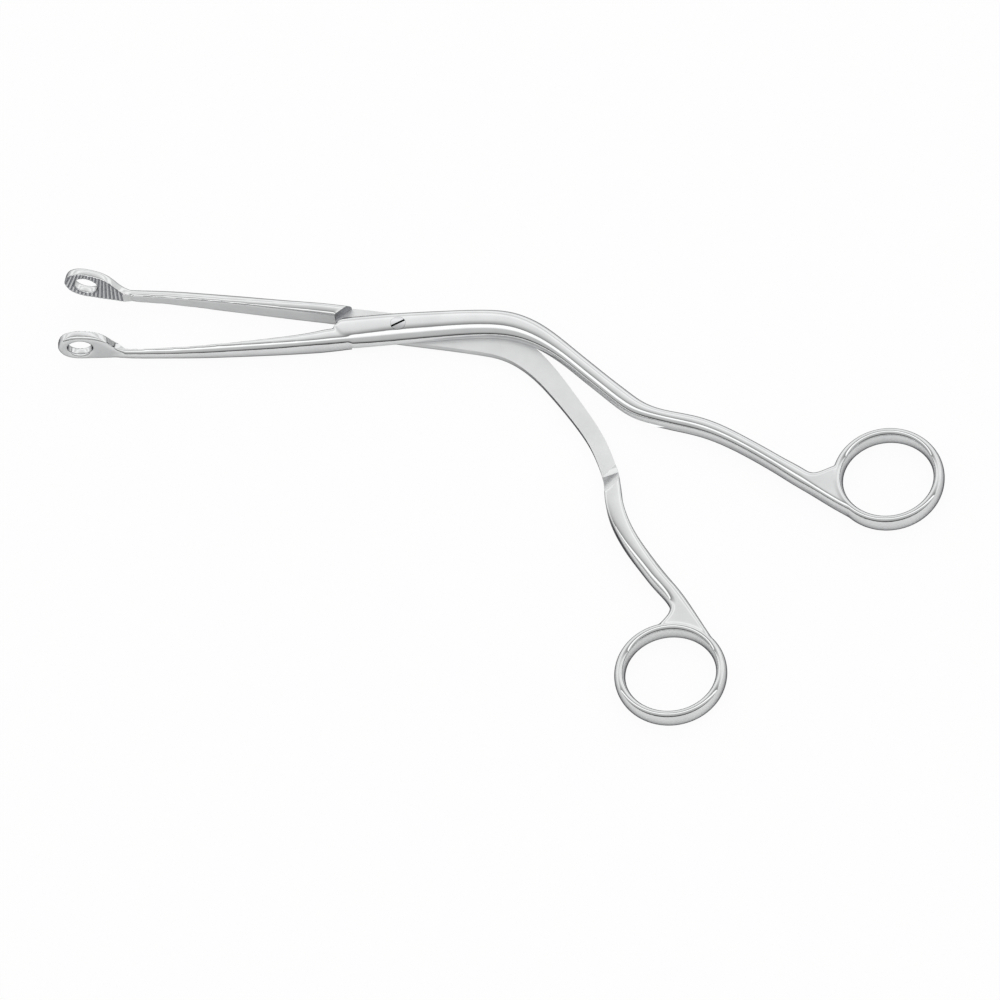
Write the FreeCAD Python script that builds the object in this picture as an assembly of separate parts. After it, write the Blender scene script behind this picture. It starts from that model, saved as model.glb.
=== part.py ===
import FreeCAD, Part
import os
from math import atan2, cos, radians, sin, sqrt

# Curved ring-handled forceps with a lap joint, in millimetres.
# Each half is drawn with the jaws closed, jaws along -X and the pivot on the Z axis,
# then turned by half the opening, so the parts are saved open. The back lies on z = 0.

V = FreeCAD.Vector
UP = V(0, 0, 1)

# Opening and lock
OPENING = 11.4                  # angle between the halves at rest, degrees
THICK = 6.2                     # full thickness of the lock
PLATE = 2.8                     # thickness of the rear plate
LAP_GAP = 0.06                  # running gap between plate and cheek
SHOULDER_GAP = 0.25             # gap at the shoulders with the jaws closed
SHOULDER_X = -17.6              # where a shoulder leaves the inner side of its arm
SHOULDER_Y = 0.3
SHOULDER_ANGLE = 48.0           # lean of the shoulders from the arm, degrees

# Joint screw
HEAD_R = 2.0
HEAD_DEPTH = 1.3
SHANK_R = 1.45
RUN_GAP = 0.05                  # radial running clearance of head and shank
SLOT_WIDTH = 0.6
SLOT_DEPTH = 0.6
SLOT_ANGLE = 32.0               # direction of the slot at rest, degrees

# Jaws
JAW_Y = -1.2                    # plane where the jaws meet
JAW_GAP = 0.1                   # between the ridges with the jaws closed
JAW_THICK = 2.6
JAW_RIM = 0.8                   # rounding of the outer rim
FACE_RIM = 0.35                 # bevel round the ridged face
TIP_X = -91.9
NECK_RUN = 2.0                  # length of the ramp from the ridged face down to the arm
JAW_MID_Z = 7.1
WINDOW_X = -85.9                # centre, half length and half width of the window
WINDOW_L = 3.3
WINDOW_W = 3.5
TOOTH_PITCH = 1.0
TOOTH_DEPTH = 0.24
TOOTH_COUNT = 16
FAN_X = -80.5                   # the ridge that stands upright; the others lean towards its top
FAN_R = 37.0                    # from the window's middle up to where the ridges would meet


# Outline of a jaw from tip to neck and back, as x and z
JAW_UNDER = [
    (TIP_X, 7.1), (TIP_X + 1.2, 3.9), (-88.2, 2.2), (-84, 1.65), (-79, 1.4), (-73.6, 1.3),
]
JAW_OVER = [
    (-73.6, 3.9), (-76.0, 5.5), (-78.2, 8.5), (-80.8, 11.2), (-84.2, 12.4), (-87.6, 12.5),
    (TIP_X + 1.5, 10.9), (TIP_X, 7.1),
]

# Handles and finger rings
HANDLE_LOW = 0.2
HANDLE_HIGH = 6.0
RING_R = 13.7                   # radius of the ring's centreline
RING_WIDE = 3.0                 # radial width of the ring's section
RING_LOW = 0.1
RING_HIGH = 6.1
RING_NOSE = 1.0                 # radius of the section's top and bottom
WEB_STEP = 0.06                 # drop of the web's faces below those of the handle
FRONT_RING = (131.8, -54.9)
BACK_RING = (93.6, -95.7)

# Arms from jaw to lock: x, y of the flat inner side, depth, back z, front z
FRONT_ARM = [
    (-81, -2.3, 1.2, 2.2, 4.2),
    (-76, -2.5, 1.5, 1.1, 4.2),
    (-66, -2.85, 1.85, 0.6, 4.4),
    (-54, -3.0, 2.3, 0.3, 4.9),
    (-43, -2.8, 2.75, 0.1, 5.4),
    (-31, -2.4, 3.25, 0.0, 5.8),
    (-19, -1.7, 3.75, 0.0, 6.15),
    (-10, -1.5, 3.6, 0.0, 6.15),
]
BACK_ARM = [
    (-81, -0.4, 1.4, 2.2, 4.2),
    (-76, -0.5, 2.1, 1.1, 4.2),
    (-66, 0.0, 2.7, 0.6, 4.4),
    (-54, 0.3, 3.1, 0.3, 4.9),
    (-43, 0.35, 3.4, 0.1, 5.4),
    (-31, 0.3, 3.7, 0.0, 5.8),
    (-19, 0.3, 3.95, 0.0, 6.15),
    (-10, 0.3, 3.9, 0.0, 6.15),
]

# Centreline and half width of lock, shank and handle: x, y, half width
FRONT_PATH = [
    (-20, -1.15, 4.25), (-10, -0.8, 4.4), (0, -0.4, 4.35), (12, -0.15, 4.1),
    (22, -0.2, 3.95), (30, -1.2, 3.85), (36.4, -4.0, 3.4), (41.6, -7.8, 2.9),
    (46.9, -12.7, 2.6), (51.5, -17.3, 2.6), (56.1, -21.85, 2.6), (60.5, -26.1, 2.65),
    (64.5, -29.4, 2.5), (69.4, -31.8, 2.2), (75, -33.6, 2.25), (81.2, -35.6, 2.3),
    (87, -38.4, 2.2), (92.6, -41.9, 2.1), (98.2, -45.8, 2.1), (103.8, -49.9, 2.2),
    (107.6, -52.7, 2.35),
]
BACK_PATH = [
    (-20, 0.7, 3.7), (-10, 0.6, 4.1), (0, 0.5, 4.2), (12, 0.4, 4.1),
    (22, 0.2, 4.05), (30, -0.8, 3.85), (36.4, -3.8, 3.4), (41.6, -7.7, 3.0),
    (46.9, -12.7, 2.7), (51.5, -17.4, 2.5), (56, -22.3, 2.35), (60, -27.3, 2.25),
    (63.3, -32.6, 2.2), (65.5, -36.9, 2.2), (67, -41, 2.25), (68.3, -45.5, 2.35),
    (70.3, -50, 2.35), (73.2, -54.6, 2.3), (77, -59.3, 2.35), (81.4, -64, 2.4),
    (85.5, -68.1, 2.4),
]
BEND_START = 5                  # sections are twice as close from this point of a path on

# Rounding of the lock body as shares (across, upright), and the x between which it
# passes into that of the shank
FRONT_FLAT = ((0.42, 0.6), 15, 50)
BACK_FLAT = ((0.2, 0.32), 67, 84)
SHANK_ROUND = (0.75, 0.82)
LOCK_ROUND = (0.69, 0.9)        # where the lock body takes over from its own arm

# Where a handle spreads into its ring: lower point, upper point of each section
FRONT_FLARE = [
    ((111.4, -58.4), (112.2, -52.4)),
    ((116.4, -62.2), (116.2, -51.0)),
    ((122.6, -66.5), (119.0, -50.2)),
]
BACK_FLARE = [
    ((89.4, -75.6), (93.6, -72.8)),
    ((89.0, -79.2), (98.8, -79.0)),
    ((85.7, -84.5), (105.7, -87.2)),
]

# Ends of the recesses
BACK_STEP = ((64.0, -37.2), (66.2, -33.5))     # where the plate's face starts to rise
BACK_RAMP = (2.6, -6.4)                        # run of the ramp up to the full handle
FRONT_STEP = ((71.9, -35.3), (66.6, -25.8))    # where the cheek's back starts to fall
FRONT_RAMP = (-5.0, 2.3)                       # run of that ramp out to the full shank


def corner(start, knee, end):
    """Quarter of an ellipse from start to end, as one cubic edge."""
    k = 4 * (sqrt(2) - 1) / 3
    curve = Part.BezierCurve()
    curve.setPoles([start, start + (knee - start) * k, end + (knee - end) * k, end])
    return curve.toShape()


def section(low, high, z0, z1, low_round, high_round):
    """Closed rounded outline that stands upright on the line from low to high.

    Each rounding is a share (across, upright) of the half width and half height.
    """
    a, b = V(low[0], low[1], 0), V(high[0], high[1], 0)
    across = b - a
    width = across.Length
    across.normalize()
    tall = z1 - z0
    lu, lz = low_round[0] * width / 2, low_round[1] * tall / 2
    hu, hz = high_round[0] * width / 2, high_round[1] * tall / 2

    def at(u, z):
        return a + across * u + UP * z

    p = [
        at(lu, z0), at(width - hu, z0), at(width, z0 + hz), at(width, z1 - hz),
        at(width - hu, z1), at(lu, z1), at(0, z1 - lz), at(0, z0 + lz),
    ]
    edges = [
        Part.makeLine(p[0], p[1]), corner(p[1], at(width, z0), p[2]),
        Part.makeLine(p[2], p[3]), corner(p[3], at(width, z1), p[4]),
        Part.makeLine(p[4], p[5]), corner(p[5], at(0, z1), p[6]),
        Part.makeLine(p[6], p[7]), corner(p[7], at(0, z0), p[0]),
    ]
    return Part.Wire(edges)


def arm(stations, side):
    """Half-round arm with a flat inner side; side is +1 if its round side faces +Y."""
    sharp, round_ = (0.12, 0.12), (1.55, 0.9)
    wires = []
    for x, y, depth, z0, z1 in stations:
        if side > 0:
            wires.append(section((x, y), (x, y + depth), z0, z1, sharp, round_))
        else:
            wires.append(section((x, y - depth), (x, y), z0, z1, round_, sharp))
    return Part.makeLoft(wires, True, True)


def edge_rails(path, flare):
    """Smooth lower and upper plan edges of a handle, with the shared parameter of each station."""
    line = Part.BSplineCurve()
    line.interpolate([V(x, y, 0) for x, y, half in path])
    low, high = [], []
    for x, y, half in path:
        run = line.tangent(line.parameter(V(x, y, 0)))[0]
        side = V(-run.y, run.x, 0)
        low.append(V(x, y, 0) - side * half)
        high.append(V(x, y, 0) + side * half)
    for a, b in flare:
        low.append(V(a[0], a[1], 0))
        high.append(V(b[0], b[1], 0))
    knots = [0.0]
    for i in range(1, len(low)):
        step = (low[i] + high[i] - low[i - 1] - high[i - 1]).Length / 2
        knots.append(knots[-1] + step)
    rails = []
    for points in (low, high):
        rail = Part.BSplineCurve()
        rail.interpolate(Points=points, Parameters=knots)
        rails.append(rail)
    return rails[0], rails[1], knots


def handle(path, flare, ring, side, flat):
    """Lock body, shank and handle in one sweep that spreads out into the ring.

    side is +1 if the arm's round side faces +Y, where the lock body takes over its rounding.
    """
    low, high, knots = edge_rails(path, flare)
    stations = knots[:BEND_START]
    for first, last in zip(knots[BEND_START:], knots[BEND_START + 1:]):
        stations += [first, (first + last) / 2]
    wires = []
    for t in stations + knots[-1:]:
        a, b = low.value(t), high.value(t)
        x = (a.x + b.x) / 2
        shank = min(max((x - flat[1]) / (flat[2] - flat[1]), 0), 1)
        lock = min(max((-x - 2) / 10.0, 0), 1)
        inner = [f + (s - f) * shank for f, s in zip(flat[0], SHANK_ROUND)]
        edge = inner if side > 0 else SHANK_ROUND
        outer = [r + (f - r) * lock for r, f in zip(edge, LOCK_ROUND)]
        thin = WEB_STEP * min(max((t - knots[len(path) - 1]) / 5.0, 0), 1)
        share = min(1, 2 * path[-1][2] / (b - a).Length) if x > flat[2] else 1
        z0 = HANDLE_LOW * shank + thin
        z1 = THICK + (HANDLE_HIGH - THICK) * shank - thin
        inner, outer = (inner[0] * share, inner[1]), (outer[0] * share, outer[1])
        rounding = (inner, outer) if side > 0 else (outer, inner)
        wires.append(section((a.x, a.y), (b.x, b.y), z0, z1, rounding[0], rounding[1]))
    body = Part.makeLoft(wires, True, True)
    bore = Part.makeCylinder(RING_R, 4 * THICK, V(ring[0], ring[1], -THICK))
    return body.cut(bore)


def finger_ring(centre):
    """Closed ring round centre, its section an upright oval of four arcs."""
    half, tall = RING_WIDE / 2, (RING_HIGH - RING_LOW) / 2
    reach = tall - RING_NOSE
    cheek = (half ** 2 + reach ** 2 - RING_NOSE ** 2) / (2 * (half - RING_NOSE))
    lean = atan2(reach, cheek - half)
    du, dz = cheek * cos(lean) - (cheek - half), cheek * sin(lean)
    x, y, z = centre[0] + RING_R, centre[1], RING_LOW + tall

    def at(u, v):
        return V(x + u, y, z + v)

    edges = [
        Part.Arc(at(du, -dz), at(half, 0), at(du, dz)).toShape(),
        Part.Arc(at(du, dz), at(0, tall), at(-du, dz)).toShape(),
        Part.Arc(at(-du, dz), at(-half, 0), at(-du, -dz)).toShape(),
        Part.Arc(at(-du, -dz), at(0, -tall), at(du, -dz)).toShape(),
    ]
    return Part.Face(Part.Wire(edges)).revolve(V(centre[0], centre[1], 0), UP, 360)


def jaw_plate(side, face_y):
    """Egg-shaped plate of a jaw, its outer rim rounded and its inner rim bevelled."""
    under, over = Part.BSplineCurve(), Part.BSplineCurve()
    under.interpolate([V(x, face_y, z) for x, z in JAW_UNDER])
    over.interpolate([V(x, face_y, z) for x, z in JAW_OVER])
    neck = Part.makeLine(under.EndPoint, over.StartPoint)
    plate = Part.Face(Part.Wire([under.toShape(), neck, over.toShape()]))
    plate = plate.extrude(V(0, side * JAW_THICK, 0))

    def rim(y):
        return [e for e in plate.Edges if abs(e.CenterOfMass.y - y) < 1e-6 and e.Length > 6]

    plate = plate.makeFillet(JAW_RIM, rim(face_y + side * JAW_THICK))
    return plate.makeChamfer(FACE_RIM, rim(face_y))


def jaw_window(side, face_y):
    """Oval hole through a jaw, flared where it opens on the outer side."""
    long, wide = max(WINDOW_L, WINDOW_W), min(WINDOW_L, WINDOW_W)
    wires = []
    for out, grow in ((-1.0, 0.0), (JAW_THICK - 0.5, 0.0), (JAW_THICK, 0.35), (JAW_THICK + 1, 1.05)):
        oval = Part.Ellipse(V(0, 0, 0), long + grow, wide + grow)
        wire = Part.Wire(oval.toShape())
        wire.rotate(V(0, 0, 0), UP, 90)
        wire.rotate(V(0, 0, 0), V(1, 0, 0), 90)
        wire.translate(V(WINDOW_X, face_y + side * out, JAW_MID_Z))
        wires.append(wire)
    return Part.makeLoft(wires, True, True)


def jaw_teeth(side, face_y, arm_y):
    """Cutters for the fan of cross ridges, and for the ramp that leads from them to the arm."""
    def cutter(x, lean, profile):
        points = [V(x - lean * THICK + u, face_y + side * v, JAW_MID_Z - THICK) for u, v in profile]
        return Part.Face(Part.makePolygon(points + points[:1])).extrude(V(lean, 0, 1) * 2 * THICK)

    half = 0.4 * TOOTH_PITCH
    groove = [(-half, -0.01), (0, TOOTH_DEPTH), (half, -0.01)]
    cutters = []
    for i in range(TOOTH_COUNT):
        x = TIP_X + (i + 0.5) * TOOTH_PITCH
        cutters.append(cutter(x, (FAN_X - x) / FAN_R, groove))
    ramp = [(0, -0.01), (NECK_RUN, side * (arm_y - face_y)), (NECK_RUN, -1.0)]
    cutters.append(cutter(x + half, 0, ramp))
    return cutters


def jaw(side, arm_y):
    """Jaw plate with its window and ridges; side is +1 for the jaw above JAW_Y."""
    face_y = JAW_Y + side * JAW_GAP / 2
    plate = jaw_plate(side, face_y).cut(jaw_window(side, face_y))
    return plate.cut(jaw_teeth(side, face_y, arm_y))


def prism(points, z0, z1):
    """Upright prism over a plan polygon."""
    ring = [V(x, y, z0) for x, y in points]
    return Part.Face(Part.makePolygon(ring + ring[:1])).extrude(UP * (z1 - z0))


def along(angle, length, gap=0.0):
    """Point on the shoulder line, length from its foot, moved gap to the line's right."""
    a = radians(angle)
    x = SHOULDER_X + length * cos(a) + gap * sin(radians(SHOULDER_ANGLE))
    return (x, SHOULDER_Y + length * sin(a))


def recess(plan, run, face, mouth, out):
    """Space over a plan polygon, from z = face through mouth to out.

    Corners 3 and 4 move by run between face and mouth, which makes the ramp at its end.
    """
    inner = [V(x, y, face) for x, y in plan]
    outer = [V(x, y, mouth) for x, y in plan]
    for i in (3, 4):
        outer[i] = outer[i] + V(run[0], run[1], 0)
    wires = [Part.makePolygon(pts + pts[:1]) for pts in (inner, outer)]
    ramp = Part.makeLoft(wires, True, True)
    return ramp.fuse(Part.Face(wires[1]).extrude(UP * (out - mouth)))


def back_recess():
    """Space above the rear plate, from its shoulder to the ramp of the step."""
    (x0, y0), (x1, y1) = BACK_STEP
    plan = [
        along(SHOULDER_ANGLE, -30), along(SHOULDER_ANGLE, 20), (30, 15),
        (2 * x1 - x0 + 4, 2 * y1 - y0 + 7), (2 * x0 - x1 - 2, 2 * y0 - y1 - 3.5), (30, -40),
    ]
    return recess(plan, BACK_RAMP, PLATE, THICK, 2 * THICK)


def front_recess():
    """Space behind the front cheek, from its shoulder to the start of the full shank."""
    (x0, y0), (x1, y1) = FRONT_STEP
    plan = [
        along(-SHOULDER_ANGLE, -20), along(-SHOULDER_ANGLE, 20), (30, -40),
        (2 * x0 - x1, 2 * y0 - y1), (2 * x1 - x0, 2 * y1 - y0), (40, 20),
    ]
    return recess(plan, FRONT_RAMP, PLATE + LAP_GAP, 0, -THICK)


def shoulder_corner(side, gap):
    """Space to the left of a shoulder line; side is +1 for the one above the arms."""
    foot, top = along(side * SHOULDER_ANGLE, -12, gap), along(side * SHOULDER_ANGLE, 24, gap)
    return prism([foot, top, (-40, top[1]), (-40, foot[1])], -THICK, 2 * THICK)


def half(stations, side, path, flare, ring, flat, gap):
    """One forging before its lock is cut: arm, lock body, handle, ring and jaw.

    gap is left where the lock body meets the other half's shoulder.
    """
    body = handle(path, flare, ring, side, flat)
    body = body.cut(shoulder_corner(-side, gap)).cut(shoulder_corner(side, 0))
    return body.fuse([arm(stations, side), finger_ring(ring), jaw(side, stations[1][1])])


def make_front_half():
    """Front half, with the lower jaw, the screw's seat and the upper right ring."""
    forging = half(FRONT_ARM, -1, FRONT_PATH, FRONT_FLARE, FRONT_RING, FRONT_FLAT, SHOULDER_GAP)
    shank = Part.makeCylinder(SHANK_R + RUN_GAP, 3 * THICK, V(0, 0, -THICK))
    seat = Part.makeCylinder(HEAD_R + RUN_GAP, THICK, V(0, 0, THICK - HEAD_DEPTH - RUN_GAP))
    forging = forging.cut(front_recess()).cut(shank).cut(seat).removeSplitter()
    forging.rotate(V(0, 0, 0), UP, OPENING / 2)
    return forging


def make_back_half():
    """Back half, with the upper jaw, the rear plate, the step and the lower ring."""
    forging = half(BACK_ARM, 1, BACK_PATH, BACK_FLARE, BACK_RING, BACK_FLAT, SHOULDER_GAP)
    thread = Part.makeCylinder(SHANK_R, 3 * THICK, V(0, 0, -THICK))
    forging = forging.cut(back_recess()).cut(thread).removeSplitter()
    forging.rotate(V(0, 0, 0), UP, -OPENING / 2)
    return forging


def make_screw():
    """Slotted screw, its head flush with the front and its end flush with the back."""
    screw = Part.makeCylinder(SHANK_R, THICK - HEAD_DEPTH / 2)
    screw = screw.fuse(Part.makeCylinder(HEAD_R, HEAD_DEPTH, V(0, 0, THICK - HEAD_DEPTH)))
    slot = Part.makeBox(4 * HEAD_R, SLOT_WIDTH, SLOT_DEPTH, V(-2 * HEAD_R, -SLOT_WIDTH / 2, THICK - SLOT_DEPTH))
    slot.rotate(V(0, 0, 0), UP, SLOT_ANGLE)
    return screw.cut(slot).removeSplitter()


os.makedirs("parts", exist_ok=True)
make_front_half().exportStep("parts/front_half.step")
make_back_half().exportStep("parts/back_half.step")
make_screw().exportStep("parts/joint_screw.step")
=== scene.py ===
from math import cos, pi, radians, sin

import bpy
import numpy as np
from mathutils import Matrix, Vector


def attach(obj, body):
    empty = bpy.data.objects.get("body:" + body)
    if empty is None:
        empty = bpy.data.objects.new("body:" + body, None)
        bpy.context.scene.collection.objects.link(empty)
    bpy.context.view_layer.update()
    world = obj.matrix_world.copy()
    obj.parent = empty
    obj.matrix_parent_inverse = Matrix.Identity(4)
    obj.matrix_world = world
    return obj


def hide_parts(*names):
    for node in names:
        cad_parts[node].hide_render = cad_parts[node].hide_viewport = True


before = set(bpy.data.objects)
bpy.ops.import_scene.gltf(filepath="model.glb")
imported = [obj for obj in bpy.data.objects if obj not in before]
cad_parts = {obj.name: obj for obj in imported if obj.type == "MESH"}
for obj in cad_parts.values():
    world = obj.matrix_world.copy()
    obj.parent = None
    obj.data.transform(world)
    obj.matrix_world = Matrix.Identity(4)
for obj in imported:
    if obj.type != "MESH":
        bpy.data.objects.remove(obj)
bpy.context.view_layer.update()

scene = bpy.context.scene

# Back half: one steel forging with the upper jaw, the thin rear plate of the lap joint, the
# step up to the full handle, and the lower ring. Drop-forged, milled at the lock, filed to
# its half-round arm and buffed all over. Drawn here in millimetres with the jaws closed.
opening = 11.4                                   # degrees between the halves as they lie
lock_thick, plate_thick = 6.2, 2.8
handle_low, handle_high = 0.2, 6.0
ring_radius, ring_wide, ring_tall, ring_middle = 13.7, 3.0, 6.0, 3.1
shoulder_x, shoulder_y, shoulder_angle = -17.6, 0.3, 48.0
shoulder_gap = 0.25

# Jaw: the plane where the two meet, and the plate's outline from tip to neck and back, as x and z
jaw_plane, jaw_gap, jaw_thick, jaw_rim = -1.2, 0.1, 2.6, 0.8
tip_x = -91.9
jaw_under = [(tip_x, 7.1), (tip_x + 1.2, 3.9), (-88.2, 2.2), (-84, 1.65), (-79, 1.4), (-73.6, 1.3)]
jaw_over = [(-73.6, 3.9), (-76.0, 5.5), (-78.2, 8.5), (-80.8, 11.2), (-84.2, 12.4), (-87.6, 12.5),
            (tip_x + 1.5, 10.9), (tip_x, 7.1)]
jaw_middle = 7.1
window_x, window_long, window_wide = -85.9, 3.3, 3.5
window_walls = ((-1.0, 0.0), (2.1, 0.0), (2.6, 0.35), (3.6, 1.05))   # depth and growth of the opening
tooth_count, tooth_pitch, tooth_depth, groove_half = 16, 1.0, 0.24, 0.35
fan_x, fan_reach = -77.2, 40.0                   # the upright ridge, and how far up the others would meet
neck_run, neck_past = 2.0, 1.2                   # length of the ramp to the arm, and of its cut beyond

# Arm: x, y of the flat inner side, depth, back z, front z
back_arm = [(-81, -0.4, 1.4, 2.2, 4.2), (-76, -0.5, 2.1, 1.1, 4.2), (-66, 0.0, 2.7, 0.6, 4.4),
            (-54, 0.3, 3.1, 0.3, 4.9), (-43, 0.35, 3.4, 0.1, 5.4), (-31, 0.3, 3.7, 0.0, 5.8),
            (-19, 0.3, 3.95, 0.0, 6.15), (-10, 0.3, 3.9, 0.0, 6.15)]
arm_flat, arm_round, squaring_up = (0.12, 0.12), (1.55, 0.9), (-48, -22)

# Lock, shank and handle: x, y, half width. Then the spread into the ring: lower and upper points
back_path = [(-20, 0.7, 3.7), (-10, 0.6, 4.1), (0, 0.5, 4.2), (12, 0.4, 4.1), (22, 0.2, 4.05),
             (30, -0.8, 3.85), (36.4, -3.8, 3.4), (41.6, -7.7, 3.0), (46.9, -12.7, 2.7),
             (51.5, -17.4, 2.5), (56, -22.3, 2.35), (60, -27.3, 2.25), (63.3, -32.6, 2.2),
             (65.5, -36.9, 2.2), (67, -41, 2.25), (68.3, -45.5, 2.35), (70.3, -50, 2.35),
             (73.2, -54.6, 2.3), (77, -59.3, 2.35), (81.4, -64, 2.4), (85.5, -68.1, 2.4)]
back_flare = [((89.4, -75.6), (93.6, -72.8)), ((89.0, -79.2), (98.8, -79.0)),
              ((85.7, -84.5), (105.7, -87.2))]
back_ring = (93.6, -95.7)

# Roundings, as shares across and upright. back_flat gives that of the flat lock body and the x
# between which it passes into that of the shank. The outer side keeps lock_round up to lock_until
# and has left it at cheek_from
back_flat = ((0.2, 0.32), 67, 84)
shank_round, lock_round, cheek_round = (0.75, 0.82), (0.69, 0.9), (0.86, 0.95)
lock_until, cheek_from = -12, -2
crown = 0.065
web_step, web_run = 0.06, 5.0

# Step where the rear plate ends, the slope of the step, and the bore of the screw
recess_step = ((64.0, -37.2), (66.2, -33.5))
recess_ramp = (2.6, -6.4)
bolt_radius = 1.45

# Fineness of the meshes, and how far cutters reach past what they cut
arm_sections, handle_sections, rim_points = 90, 260, 40
voxel, passes, crisp_angle = 0.27, 8, 32
reach_low, reach_high, reach_left = -9, 15, -40
ring_cutter, drill_reach = 40, 30


def through(knots, rows, at):
    """Smooth curve through the rows of numbers at the knots, read at the places in at."""
    knots, rows = np.array(knots, float), np.array(rows, float)
    gap = np.diff(knots)
    count = len(knots)
    bend, pull = np.eye(count), np.zeros_like(rows)
    for i in range(1, count - 1):
        bend[i, i - 1:i + 2] = gap[i - 1], 2 * (gap[i - 1] + gap[i]), gap[i]
        pull[i] = 6 * ((rows[i + 1] - rows[i]) / gap[i] - (rows[i] - rows[i - 1]) / gap[i - 1])
    curve = np.linalg.solve(bend, pull)
    k = np.clip(np.searchsorted(knots, at, side="right") - 1, 0, count - 2)
    t, h = (at - knots[k])[:, None], gap[k][:, None]
    slope = (rows[k + 1] - rows[k]) / h - h * (2 * curve[k] + curve[k + 1]) / 6
    return rows[k] + t * slope + t ** 2 * curve[k] / 2 + t ** 3 * (curve[k + 1] - curve[k]) / (6 * h)


def share(at, start, end):
    """How far at lies from start to end, from 0 to 1."""
    return min(max((at - start) / (end - start), 0), 1)


def between(a, b, part):
    """The pair that lies between the pairs a and b."""
    return [p + (q - p) * part for p, q in zip(a, b)]


def section(low, high, z0, z1, low_round, high_round, barrel=0.0, steps=8, flat_steps=6):
    """Points of a rounded outline that stands on the line from low to high, in mm.

    barrel is the share of its height that the outline loses towards both ends. The top and bottom
    are divided too, because they bulge.
    """
    low, high = np.array(low), np.array(high)
    width = np.linalg.norm(high - low)
    across = (high - low) / width
    tall = z1 - z0
    lu, lz = low_round[0] * width / 2, low_round[1] * tall / 2
    hu, hz = high_round[0] * width / 2, high_round[1] * tall / 2
    outline = []
    for u, z, ru, rz, start in ((lu, z0 + lz, lu, lz, 180), (width - hu, z0 + hz, hu, hz, 270),
                                (width - hu, z1 - hz, hu, hz, 0), (lu, z1 - lz, lu, lz, 90)):
        turn = np.radians(start + np.linspace(0, 90, steps + 1))
        outline += list(zip(u + ru * np.cos(turn), z + rz * np.sin(turn)))
        if start in (180, 0):
            run = (hu + lu - width) if start == 0 else (width - hu - lu)
            u, z = outline[-1]
            outline += [(u + run * i / flat_steps, z) for i in range(1, flat_steps)]
    middle = (z0 + z1) / 2
    points = []
    for u, z in outline:
        p = low + across * u
        points.append((p[0], p[1], middle + (z - middle) * (1 - barrel * (2 * u / width - 1) ** 2)))
    return points


def shell(name, sections):
    """Closed skin over the sections, in order."""
    count = len(sections[0])
    last = count * (len(sections) - 1)
    faces = [tuple(range(count))[::-1], tuple(range(last, last + count))]
    for i in range(len(sections) - 1):
        for j in range(count):
            a, b = i * count + j, i * count + (j + 1) % count
            faces.append((a, b, b + count, a + count))
    mesh = bpy.data.meshes.new(name)
    mesh.from_pydata([p for points in sections for p in points], [], faces)
    skin = bpy.data.objects.new(name, mesh)
    scene.collection.objects.link(skin)
    pick(skin)
    bpy.ops.object.mode_set(mode="EDIT")
    bpy.ops.mesh.select_all(action="SELECT")
    bpy.ops.mesh.normals_make_consistent(inside=False)
    bpy.ops.object.mode_set(mode="OBJECT")
    return skin


def pick(piece):
    """Makes piece the only selected object."""
    bpy.ops.object.select_all(action="DESELECT")
    piece.select_set(True)
    bpy.context.view_layer.objects.active = piece


def combine(piece, other, how):
    """Joins other to piece, or cuts it away, and deletes it."""
    pick(piece)
    change = piece.modifiers.new("combine", "BOOLEAN")
    change.operation = how
    change.solver = "MANIFOLD"
    change.object = other
    bpy.ops.object.modifier_apply(modifier=change.name)
    bpy.data.objects.remove(other)


def half_round_arm(stations, side, lock_inner):
    """Arm whose flat side faces the other half. Near the lock it squares up to the lock's outline."""
    rows = []
    for x, y, depth, z0, z1 in stations:
        ends = (y, y + depth) if side > 0 else (y - depth, y)
        rows.append((x, ends[0], ends[1], z0, z1))
    places = np.linspace(stations[0][0], stations[-1][0], arm_sections)
    sections = []
    for x, y0, y1, z0, z1 in through([s[0] for s in stations], rows, places):
        near = share(x, *squaring_up)
        flat = between(arm_flat, lock_inner, near)
        outer = between(arm_round, lock_round, near)
        rounds = (flat, outer) if side > 0 else (outer, flat)
        sections.append(section((x, y0), (x, y1), z0, z1, *rounds, crown * near))
    return shell("arm", sections)


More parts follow.
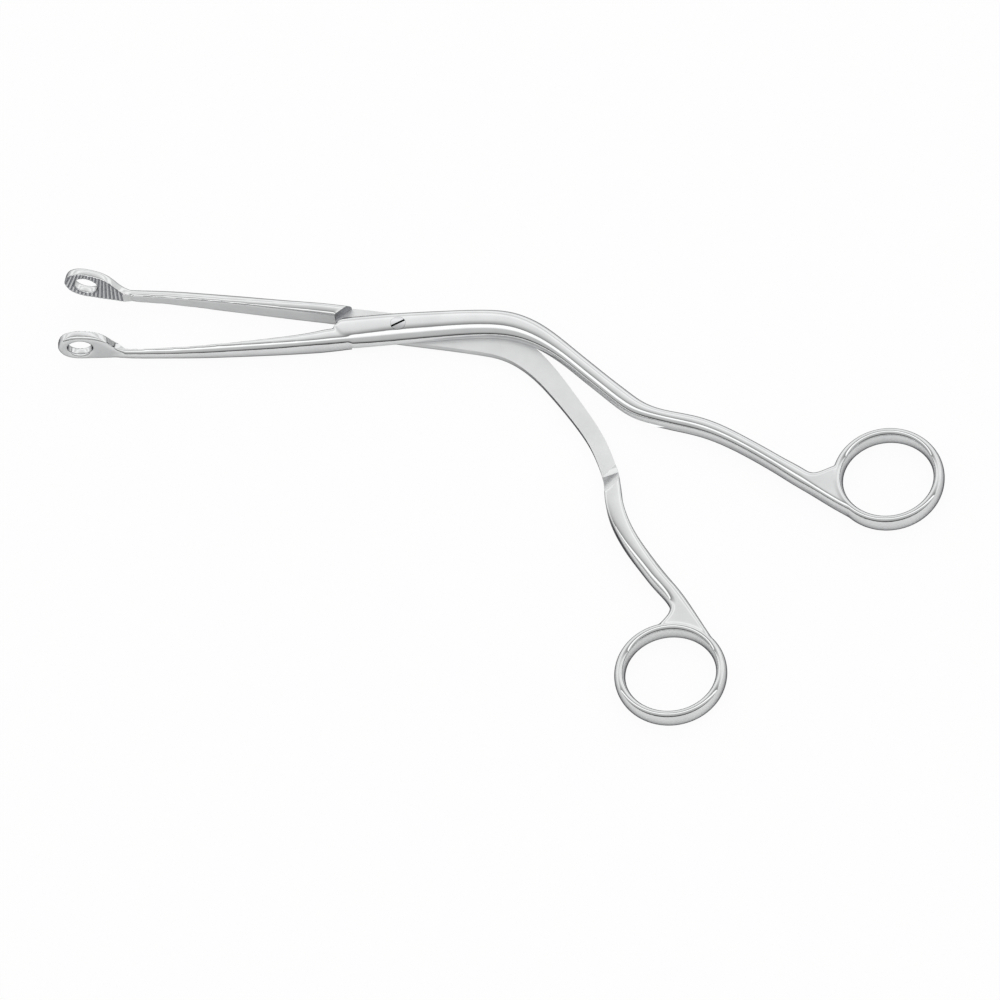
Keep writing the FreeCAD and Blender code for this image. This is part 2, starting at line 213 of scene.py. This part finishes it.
def lock_and_handle(path, flare, side, flat):
    """Lock body, shank and handle in one sweep that spreads out to the ring.

    Its inner side is flat at the lock and rounded from the shank on. Its outer side passes from
    lock_round into the rounding of the cheek or the rear plate, and then into that of the shank.
    """
    points = np.array([p[:2] for p in path])
    lengths = np.r_[0, np.cumsum(np.linalg.norm(np.diff(points, axis=0), axis=1))]
    nudge = 0.01
    ahead = through(lengths, points, lengths + nudge) - through(lengths, points, lengths - nudge)
    ahead /= np.linalg.norm(ahead, axis=1)[:, None]
    beside = np.c_[-ahead[:, 1], ahead[:, 0]] * np.array([[p[2]] for p in path])
    rows = list(np.c_[points - beside, points + beside]) + [(*a, *b) for a, b in flare]
    knots = [0.0]
    for a, b in zip(rows, rows[1:]):
        knots.append(knots[-1] + np.hypot(b[0] + b[2] - a[0] - a[2], b[1] + b[3] - a[1] - a[3]) / 2)
    sections = []
    places = np.linspace(0, knots[-1], handle_sections)
    for t, row in zip(places, through(knots, rows, places)):
        x = (row[0] + row[2]) / 2
        width = np.hypot(row[2] - row[0], row[3] - row[1])
        shank = share(x, *flat[1:])
        shank = shank * shank * (3 - 2 * shank)
        inner = between(flat[0], shank_round, shank)
        edge = inner if side > 0 else between(cheek_round, shank_round, shank)
        outer = between(edge, lock_round, share(x, cheek_from, lock_until))
        past = min(max((t - knots[len(path) - 1]) / web_run, 0), 1)
        narrower = min(1, 2 * path[-1][2] / width) if past > 0 else 1
        inner[0] *= narrower
        outer[0] *= narrower
        z0 = handle_low * shank + web_step * past
        z1 = lock_thick + (handle_high - lock_thick) * shank - web_step * past
        rounds = (inner, outer) if side > 0 else (outer, inner)
        sections.append(section(row[:2], row[2:], z0, z1, *rounds, crown * (1 - past)))
    return shell("handle", sections)


def jaw_plate(side):
    """Egg-shaped jaw plate with its rounded rim and oval window, its ridges not yet cut."""
    face = jaw_plane + side * jaw_gap / 2
    edge = []
    for points in (jaw_under, jaw_over):
        knots = np.r_[0, np.cumsum(np.linalg.norm(np.diff(np.array(points), axis=0), axis=1))]
        places = np.linspace(0, knots[-1], rim_points)
        edge += [(x, face, z) for x, z in through(knots, points, places)[:-1]]
    mesh = bpy.data.meshes.new("jaw")
    mesh.from_pydata(edge, [], [tuple(range(len(edge)))])
    jaw = bpy.data.objects.new("jaw", mesh)
    scene.collection.objects.link(jaw)
    pick(jaw)
    bpy.ops.object.mode_set(mode="EDIT")
    bpy.ops.mesh.select_all(action="SELECT")
    bpy.ops.mesh.extrude_region_move(TRANSFORM_OT_translate={"value": (0, side * jaw_thick, 0)})
    bpy.ops.object.mode_set(mode="OBJECT")
    for e in jaw.data.edges:
        a, b = (jaw.data.vertices[i].co for i in e.vertices)
        e.select = min(abs(a.y - face), abs(b.y - face)) > jaw_thick / 2
    bpy.ops.object.mode_set(mode="EDIT")
    bpy.ops.mesh.bevel(offset=jaw_rim, segments=6, affect="EDGES")
    bpy.ops.mesh.select_all(action="SELECT")
    bpy.ops.mesh.normals_make_consistent(inside=False)
    bpy.ops.object.mode_set(mode="OBJECT")
    turns = np.linspace(0, 2 * pi, 65)[:-1]
    rings = []
    for out, grow in window_walls:
        rings.append([(window_x + (window_long + grow) * cos(a), face + side * out,
                       jaw_middle + (window_wide + grow) * sin(a)) for a in turns])
    combine(jaw, shell("window", rings), "DIFFERENCE")
    return jaw


def plan_block(name, plan, levels):
    """Upright block over a plan; levels gives z and the shift of corners 3 and 4 there."""
    rings = []
    for z, (dx, dy) in levels:
        rings.append([(x + dx, y + dy, z) if i in (3, 4) else (x, y, z) for i, (x, y) in enumerate(plan)])
    return shell(name, rings)


def along(angle, length, gap=0.0):
    """Point on a shoulder line, which leans by angle from X. gap moves the line towards the screw."""
    a = radians(angle)
    across = gap * sin(radians(shoulder_angle))
    return (shoulder_x + length * cos(a) + across, shoulder_y + length * sin(a))


def shoulder_block(side, gap):
    """Block that clears all before the shoulder on one side of the lock."""
    past_lock = (-12, 24)                        # lengths that reach past both sides of the lock
    foot, top = (along(side * shoulder_angle, length, gap) for length in past_lock)
    plan = [foot, top, (reach_left, top[1]), (reach_left, foot[1])]
    return plan_block("shoulder", plan, ((reach_low, (0, 0)), (reach_high, (0, 0))))


def forging(arm, path, flare, ring, side, flat):
    """One half before its lock and ridges are milled."""
    body = lock_and_handle(path, flare, side, flat)
    bpy.ops.mesh.primitive_cylinder_add(vertices=128, radius=ring_radius, depth=ring_cutter,
                                        location=(*ring, 0))
    combine(body, bpy.context.active_object, "DIFFERENCE")
    combine(body, shoulder_block(-side, shoulder_gap), "DIFFERENCE")
    combine(body, shoulder_block(side, 0), "DIFFERENCE")
    combine(body, half_round_arm(arm, side, flat[0]), "UNION")
    combine(body, jaw_plate(side), "UNION")
    bpy.ops.mesh.primitive_torus_add(major_radius=ring_radius, minor_radius=ring_wide / 2,
                                     major_segments=160, minor_segments=40, location=(0, 0, 0))
    loop = bpy.context.active_object
    stretch = Matrix.Diagonal((1, 1, ring_tall / ring_wide, 1))
    loop.data.transform(Matrix.Translation((*ring, ring_middle)) @ stretch)
    combine(body, loop, "UNION")
    return body


def soften(piece):
    """Makes one even skin of the forging and softens its corners, as filing and buffing do."""
    pick(piece)
    net = piece.modifiers.new("net", "REMESH")
    net.mode = "VOXEL"
    net.voxel_size = voxel
    bpy.ops.object.modifier_apply(modifier=net.name)
    ease = piece.modifiers.new("ease", "SMOOTH")
    ease.factor = 0.5
    ease.iterations = passes
    bpy.ops.object.modifier_apply(modifier=ease.name)


def leaning_bar(x, lean, face, side, profile):
    """Bar that crosses a jaw's face at x and leans by lean, with the given profile."""
    rings = []
    for z in (-0.5, 14.0):                       # from under the jaw to over it
        shift = x + lean * (z - jaw_middle)
        rings.append([(shift + u, face + side * v, z) for u, v in profile])
    return shell("bar", rings)


def mill_ridges(piece, side, arm_y):
    """Mills the fan of V grooves into a jaw's face, and the ramp that leads from them to the arm."""
    face = jaw_plane + side * jaw_gap / 2
    half = groove_half * tooth_pitch
    before = -0.01                               # the cutters start just before the face
    bars = []
    for i in range(tooth_count):
        x = tip_x + (i + 0.5) * tooth_pitch
        groove = [(-half, before), (0, tooth_depth), (half, before)]
        bars.append(leaning_bar(x, (fan_x - x) / fan_reach, face, side, groove))
    bpy.ops.object.select_all(action="DESELECT")
    for bar in bars:
        bar.select_set(True)
    bpy.ops.object.join()
    combine(piece, bpy.context.active_object, "DIFFERENCE")
    rise = side * (arm_y - face)
    neck_end = neck_run + neck_past
    ramp = [(0, before), (neck_run, rise), (neck_end, rise), (neck_end, -1.0)]
    combine(piece, leaning_bar(x + half, 0, face, side, ramp), "DIFFERENCE")


def paint_groove_shade(piece, side):
    """Gives the groove flanks the second material, the dull one, darkened as painted shade."""
    face = jaw_plane + side * jaw_gap / 2
    last = tip_x + (tooth_count + 0.4) * tooth_pitch
    # The flanks lean. The lands between them and the ends of the cuts don't.
    for polygon in piece.data.polygons:
        depth = side * (polygon.center.y - face)
        in_groove = polygon.center.x < last and -0.02 < depth < tooth_depth + 0.02
        if in_groove and 0.5 < -side * polygon.normal.y < 0.98:
            polygon.material_index = 1


def ground_flat(piece, level):
    """Gives the flat of the lap, at z = level, the third material, the satin one."""
    for polygon in piece.data.polygons:
        if abs(polygon.center.z - level) < 0.02 and abs(polygon.normal.z) > 0.999:
            polygon.material_index = 2


def paint_shoulder_shade(piece, side):
    """Gives the upright shoulder of the lock, near shoulder_x, the second material: painted shade."""
    for polygon in piece.data.polygons:
        x, y, z = polygon.center
        inside = shoulder_x - 1.9 < x < shoulder_x + 4.6 and 1.0 < z < lock_thick - 0.05
        if inside and polygon.normal.x > 0.5 and -side * polygon.normal.y > 0.3:
            polygon.material_index = 1


def buffed_steel(name, dark, light, haze_low, haze_high):
    """Stainless steel with a fine haze and the lines that the buffing wheel leaves along the arms.

    The haze goes from haze_low to haze_high in roughness: low is a mirror polish, high is satin.
    """
    steel = bpy.data.materials.new(name)
    steel.use_nodes = True
    nodes, links = steel.node_tree.nodes, steel.node_tree.links
    shader = nodes["Principled BSDF"]
    shader.inputs["Metallic"].default_value = 1.0
    shader.inputs["Specular Tint"].default_value = (0.10, 0.10, 0.11, 1)
    place = nodes.new("ShaderNodeTexCoord")
    haze = nodes.new("ShaderNodeTexNoise")
    haze.inputs["Scale"].default_value = 140
    haze.inputs["Detail"].default_value = 5
    links.new(place.outputs["Object"], haze.inputs["Vector"])
    tint = nodes.new("ShaderNodeValToRGB")
    tint.color_ramp.elements[0].position, tint.color_ramp.elements[0].color = 0.35, (*dark, 1)
    tint.color_ramp.elements[1].position, tint.color_ramp.elements[1].color = 0.65, (*light, 1)
    links.new(haze.outputs["Fac"], tint.inputs["Fac"])
    links.new(tint.outputs["Color"], shader.inputs["Base Color"])
    gloss = nodes.new("ShaderNodeMapRange")
    gloss.inputs["To Min"].default_value = haze_low
    gloss.inputs["To Max"].default_value = haze_high
    links.new(haze.outputs["Fac"], gloss.inputs["Value"])
    links.new(gloss.outputs["Result"], shader.inputs["Roughness"])
    grain = nodes.new("ShaderNodeMapping")
    grain.inputs["Scale"].default_value = (150, 900, 900)
    links.new(place.outputs["Object"], grain.inputs["Vector"])
    lines = nodes.new("ShaderNodeTexNoise")
    lines.inputs["Scale"].default_value = 1.0
    lines.inputs["Detail"].default_value = 3
    links.new(grain.outputs["Vector"], lines.inputs["Vector"])
    bump = nodes.new("ShaderNodeBump")
    bump.inputs["Strength"].default_value = 0.12
    bump.inputs["Distance"].default_value = 0.00001
    links.new(lines.outputs["Fac"], bump.inputs["Height"])
    links.new(bump.outputs["Normal"], shader.inputs["Normal"])
    return steel


def dull_steel_painted_shade(name, shade_colour):
    """Dull steel as a cutter leaves it, finely mottled, its colour darkened as painted shade."""
    steel = bpy.data.materials.new(name)
    steel.use_nodes = True
    nodes, links = steel.node_tree.nodes, steel.node_tree.links
    shader = nodes["Principled BSDF"]
    shader.inputs["Metallic"].default_value = 0.9
    shader.inputs["Roughness"].default_value = 0.42
    place = nodes.new("ShaderNodeTexCoord")
    marks = nodes.new("ShaderNodeTexNoise")
    marks.inputs["Scale"].default_value = 2200
    marks.inputs["Detail"].default_value = 4
    links.new(place.outputs["Object"], marks.inputs["Vector"])
    tint = nodes.new("ShaderNodeValToRGB")
    tint.color_ramp.elements[0].position = 0.3
    tint.color_ramp.elements[0].color = (*(0.6 * c for c in shade_colour), 1)
    tint.color_ramp.elements[1].position = 0.7
    tint.color_ramp.elements[1].color = (*shade_colour, 1)
    links.new(marks.outputs["Fac"], tint.inputs["Fac"])
    links.new(tint.outputs["Color"], shader.inputs["Base Color"])
    return steel


def turn_and_shade(piece, name, angle):
    """Turns a piece by its share of the opening, brings it to metres and smooths its shading.

    Edges over crisp_angle stay crisp, such as those that the milling cutter leaves.
    """
    piece.name = name
    piece.data.transform(Matrix.Rotation(radians(angle), 4, "Z") @ Matrix.Scale(0.001, 4))
    pick(piece)
    bpy.ops.object.shade_smooth_by_angle(angle=radians(crisp_angle))


back = forging(back_arm, back_path, back_flare, back_ring, 1, back_flat)
soften(back)
(x0, y0), (x1, y1) = recess_step
# Corners 3 and 4 of the cut lie near the line of the step, past both edges of the handle.
back_plan = [along(shoulder_angle, -30), along(shoulder_angle, 20), (30, 15),
             (2 * x1 - x0 + 4, 2 * y1 - y0 + 7), (2 * x0 - x1 - 2, 2 * y0 - y1 - 3.5), (30, -40)]
back_levels = ((plate_thick, (0, 0)), (lock_thick, recess_ramp), (reach_high, recess_ramp))
combine(back, plan_block("recess", back_plan, back_levels), "DIFFERENCE")
mill_ridges(back, 1, back_arm[1][1])
bpy.ops.mesh.primitive_cylinder_add(vertices=64, radius=bolt_radius, depth=drill_reach,
                                    location=(0, 0, 0))
combine(back, bpy.context.active_object, "DIFFERENCE")
back.data.materials.clear()
# The second material is darkened as painted shade, for the groove flanks and the shoulder.
for steel in (buffed_steel("back_half_polish", (0.715, 0.72, 0.722), (0.765, 0.77, 0.772), 0.05, 0.11),
              dull_steel_painted_shade("back_jaw_grooves_painted_shade", (0.38, 0.39, 0.41)),
              buffed_steel("back_plate_satin", (0.79, 0.795, 0.797), (0.85, 0.855, 0.857), 0.40, 0.50)):
    back.data.materials.append(steel)
paint_groove_shade(back, 1)
ground_flat(back, plate_thick)
paint_shoulder_shade(back, 1)
turn_and_shade(back, "back_half_steel", -opening / 2)
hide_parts("back_half")
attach(back, "back")

# Front half: the other forging, with the lower jaw, the thick cheek that laps over the rear
# plate, the bored seat of the screw, and the upper ring. It is made and finished as the back
# half is, and its cheek keeps a wide rounding along the edge that faces the user.
front_arm = [(-81, -2.3, 1.2, 2.2, 4.2), (-76, -2.5, 1.5, 1.1, 4.2), (-66, -2.85, 1.85, 0.6, 4.4),
             (-54, -3.0, 2.3, 0.3, 4.9), (-43, -2.7, 2.85, 0.1, 5.4), (-31, -1.8, 3.85, 0.0, 5.8),
             (-24, -1.0, 4.6, 0.0, 6.1), (-18, 0.0, 5.4, 0.0, 6.2), (-10, -0.3, 4.4, 0.4, 5.8)]
front_path = [(-20, -1.15, 4.25), (-10, -0.8, 4.4), (0, -0.4, 4.35), (12, -0.15, 4.1),
              (22, -0.2, 3.95), (30, -1.2, 3.85), (36.4, -4.0, 3.4), (41.6, -7.8, 2.9),
              (46.9, -12.7, 2.6), (51.5, -17.3, 2.6), (56.1, -21.85, 2.6), (60.5, -26.1, 2.65),
              (64.5, -29.4, 2.5), (69.4, -31.8, 2.2), (75, -33.6, 2.25), (81.2, -35.6, 2.3),
              (87, -38.4, 2.2), (92.6, -41.9, 2.1), (98.2, -45.8, 2.1), (103.8, -49.9, 2.2),
              (107.6, -52.7, 2.35)]
front_flare = [((111.4, -58.4), (112.2, -52.4)), ((116.4, -62.2), (116.2, -51.0)),
               ((122.6, -66.5), (119.0, -50.2))]
front_ring = (131.8, -54.9)
front_flat = ((0.42, 0.6), 15, 50)
lap_gap = 0.06
cheek_step = ((71.9, -35.3), (66.6, -25.8))
cheek_ramp = (-5.0, 2.3)
head_radius, head_depth, run_gap = 2.0, 1.3, 0.05

front = forging(front_arm, front_path, front_flare, front_ring, -1, front_flat)
soften(front)
(x0, y0), (x1, y1) = cheek_step
front_plan = [along(-shoulder_angle, -20), along(-shoulder_angle, 20), (30, -40),
              (2 * x0 - x1, 2 * y0 - y1), (2 * x1 - x0, 2 * y1 - y0), (40, 20)]
front_levels = ((plate_thick + lap_gap, (0, 0)), (0, cheek_ramp), (reach_low, cheek_ramp))
combine(front, plan_block("recess", front_plan, front_levels), "DIFFERENCE")
mill_ridges(front, -1, front_arm[1][1])
bpy.ops.mesh.primitive_cylinder_add(vertices=64, radius=bolt_radius + run_gap, depth=drill_reach,
                                    location=(0, 0, 0))
combine(front, bpy.context.active_object, "DIFFERENCE")
seat_depth = head_depth + run_gap
bpy.ops.mesh.primitive_cylinder_add(vertices=96, radius=head_radius + run_gap, depth=2 * seat_depth,
                                    location=(0, 0, lock_thick))
combine(front, bpy.context.active_object, "DIFFERENCE")
front.data.materials.clear()
# The second material is darkened as painted shade, for the groove flanks and the shoulder.
for steel in (buffed_steel("front_half_polish", (0.705, 0.71, 0.714), (0.755, 0.76, 0.764), 0.05, 0.11),
              dull_steel_painted_shade("front_jaw_grooves_painted_shade", (0.38, 0.39, 0.41)),
              buffed_steel("front_lap_satin", (0.79, 0.795, 0.797), (0.85, 0.855, 0.857), 0.40, 0.50)):
    front.data.materials.append(steel)
paint_groove_shade(front, -1)
ground_flat(front, plate_thick + lap_gap)
paint_shoulder_shade(front, -1)
turn_and_shade(front, "front_half_steel", opening / 2)
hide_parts("front_half")
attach(front, "front")

# Joint screw: a turned steel screw whose slotted head lies flush in the cheek. It is driven into
# the rear plate, ground level with both faces and buffed, and inside its slot is painted shade.
slot_width, slot_depth, slot_angle = 0.6, 0.6, 32
head_edge = 0.06
head_middle = lock_thick - head_depth / 2

bpy.ops.mesh.primitive_cylinder_add(vertices=96, radius=head_radius, depth=head_depth,
                                    location=(0, 0, 0))
screw = bpy.context.active_object
screw.data.transform(Matrix.Translation((0, 0, head_middle)))
bpy.ops.mesh.primitive_cylinder_add(vertices=96, radius=bolt_radius, depth=head_middle,
                                    location=(0, 0, head_middle / 2))
combine(screw, bpy.context.active_object, "UNION")
round_off = screw.modifiers.new("round_off", "BEVEL")
round_off.width = head_edge
round_off.segments = 3
bpy.ops.object.modifier_apply(modifier=round_off.name)
bpy.ops.mesh.primitive_cube_add(size=1, location=(0, 0, lock_thick),
                                rotation=(0, 0, radians(slot_angle)),
                                scale=(4 * head_radius, slot_width, 2 * slot_depth))
combine(screw, bpy.context.active_object, "DIFFERENCE")
screw.data.materials.clear()
for steel in (buffed_steel("screw_polish", (0.67, 0.675, 0.685), (0.73, 0.735, 0.745), 0.07, 0.14),
              dull_steel_painted_shade("screw_slot_painted_shade", (0.05, 0.05, 0.055))):
    screw.data.materials.append(steel)
# The slot's floor and walls take the second material, which is painted shade.
for polygon in screw.data.polygons:
    inside = lock_thick - slot_depth - 0.01 < polygon.center.z < lock_thick - 0.005
    if inside and polygon.center.xy.length < head_radius - 0.03:
        polygon.material_index = 1
turn_and_shade(screw, "joint_screw_steel", 0)
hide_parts("joint_screw")
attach(screw, "back")

# Table: a wide white sweep. It looks white to the camera and in the steel, and a share of it
# stays matte paper, which takes the tool's soft shadow. It lies a hair under the tool's back.
table_size, table_level = 6, -0.0002
white_in_view, white_in_steel = 0.93, 0.20
bpy.ops.mesh.primitive_plane_add(size=table_size, location=(0, 0, table_level))
floor = bpy.context.active_object
floor.name = "floor"
paper = bpy.data.materials.new("white_sweep")
paper.use_nodes = True
nodes, links = paper.node_tree.nodes, paper.node_tree.links
nodes.clear()
sheet = nodes.new("ShaderNodeOutputMaterial")
mix = nodes.new("ShaderNodeMixShader")
matte = nodes.new("ShaderNodeBsdfDiffuse")
matte.inputs["Color"].default_value = (0.95, 0.95, 0.95, 1)
white = nodes.new("ShaderNodeEmission")
white.inputs["Strength"].default_value = 1.0
seen = nodes.new("ShaderNodeLightPath")
in_view = nodes.new("ShaderNodeMath")
in_view.operation = "MULTIPLY"
in_view.inputs[1].default_value = white_in_view
in_steel = nodes.new("ShaderNodeMath")
in_steel.operation = "MULTIPLY_ADD"
in_steel.inputs[1].default_value = white_in_steel
links.new(seen.outputs["Is Camera Ray"], in_view.inputs[0])
links.new(seen.outputs["Is Glossy Ray"], in_steel.inputs[0])
links.new(in_view.outputs["Value"], in_steel.inputs[2])
links.new(in_steel.outputs["Value"], mix.inputs["Fac"])
links.new(matte.outputs["BSDF"], mix.inputs[1])
links.new(white.outputs["Emission"], mix.inputs[2])
links.new(mix.outputs["Shader"], sheet.inputs["Surface"])
floor.data.materials.append(paper)

# Room: a long light tent over the tool, whose panels run along X. Each pair is a panel's angle from
# upright, in degrees, and its brightness: from the far edge of the table over the top, with a dark
# seam just before it, to the dim near edge.
panels = [(-90, 1.15), (-62, 1.20), (-56, 0.85), (-47, 0.90), (-38, 1.25), (-34, 1.05), (-31, 0.97),
          (-26, 0.75), (-18, 0.52), (-9, 0.30), (-5, 0.30), (-3, 1.40), (18, 1.40), (26, 1.10),
          (32, 0.70), (64, 0.60), (74, 0.34), (80, 0.10), (90, 0.06)]
room = bpy.data.worlds.new("studio")
scene.world = room
room.use_nodes = True
nodes, links = room.node_tree.nodes, room.node_tree.links
surround = nodes["Background"]
aim = nodes.new("ShaderNodeTexCoord")
split = nodes.new("ShaderNodeSeparateXYZ")
links.new(aim.outputs["Generated"], split.inputs["Vector"])
nearer = nodes.new("ShaderNodeMath")
nearer.operation = "MULTIPLY"
nearer.inputs[1].default_value = -1.0
links.new(split.outputs["Y"], nearer.inputs[0])
lean = nodes.new("ShaderNodeMath")
lean.operation = "ARCTAN2"
links.new(nearer.outputs["Value"], lean.inputs[0])
links.new(split.outputs["Z"], lean.inputs[1])
spread = nodes.new("ShaderNodeMapRange")
spread.inputs["From Min"].default_value = -pi / 2
spread.inputs["From Max"].default_value = pi / 2
links.new(lean.outputs["Value"], spread.inputs["Value"])
tent = nodes.new("ShaderNodeValToRGB")
stops = tent.color_ramp.elements
for number, (angle, level) in enumerate(panels):
    inner = 0 < number < len(panels) - 1
    stop = stops.new((angle + 90) / 180) if inner else stops[-1 if number else 0]
    stop.color = (level, level, level, 1)
links.new(spread.outputs["Result"], tent.inputs["Fac"])
links.new(tent.outputs["Color"], surround.inputs["Color"])
surround.inputs["Strength"].default_value = 1.0

# The camera stands high in front of the tool and a little to the right, far off with a very
# long lens, as in a catalogue picture. Its square picture is 268.6 mm wide at the tool.
view_right = Vector((0.9913, 0.0952, -0.0902)).normalized()
view_up = Vector((-0.0359, 0.8585, 0.5116))
view_back = view_right.cross(view_up).normalized()
view_up = view_back.cross(view_right)
camera_aim = Vector((0.0325, -0.0523, 0.0030))
camera_distance = 10.0
picture_width = 0.2686
sensor_width = 36
camera_data = bpy.data.cameras.new("camera")
camera_data.sensor_width = sensor_width
camera_data.lens = sensor_width * camera_distance / picture_width
camera_data.clip_start = 1
camera_data.clip_end = 60
camera = bpy.data.objects.new("camera", camera_data)
scene.collection.objects.link(camera)
turn = Matrix((view_right, view_up, view_back)).transposed()
camera.matrix_world = Matrix.Translation(camera_aim + view_back * camera_distance) @ turn.to_4x4()
scene.camera = camera

scene.view_settings.view_transform = "Standard"
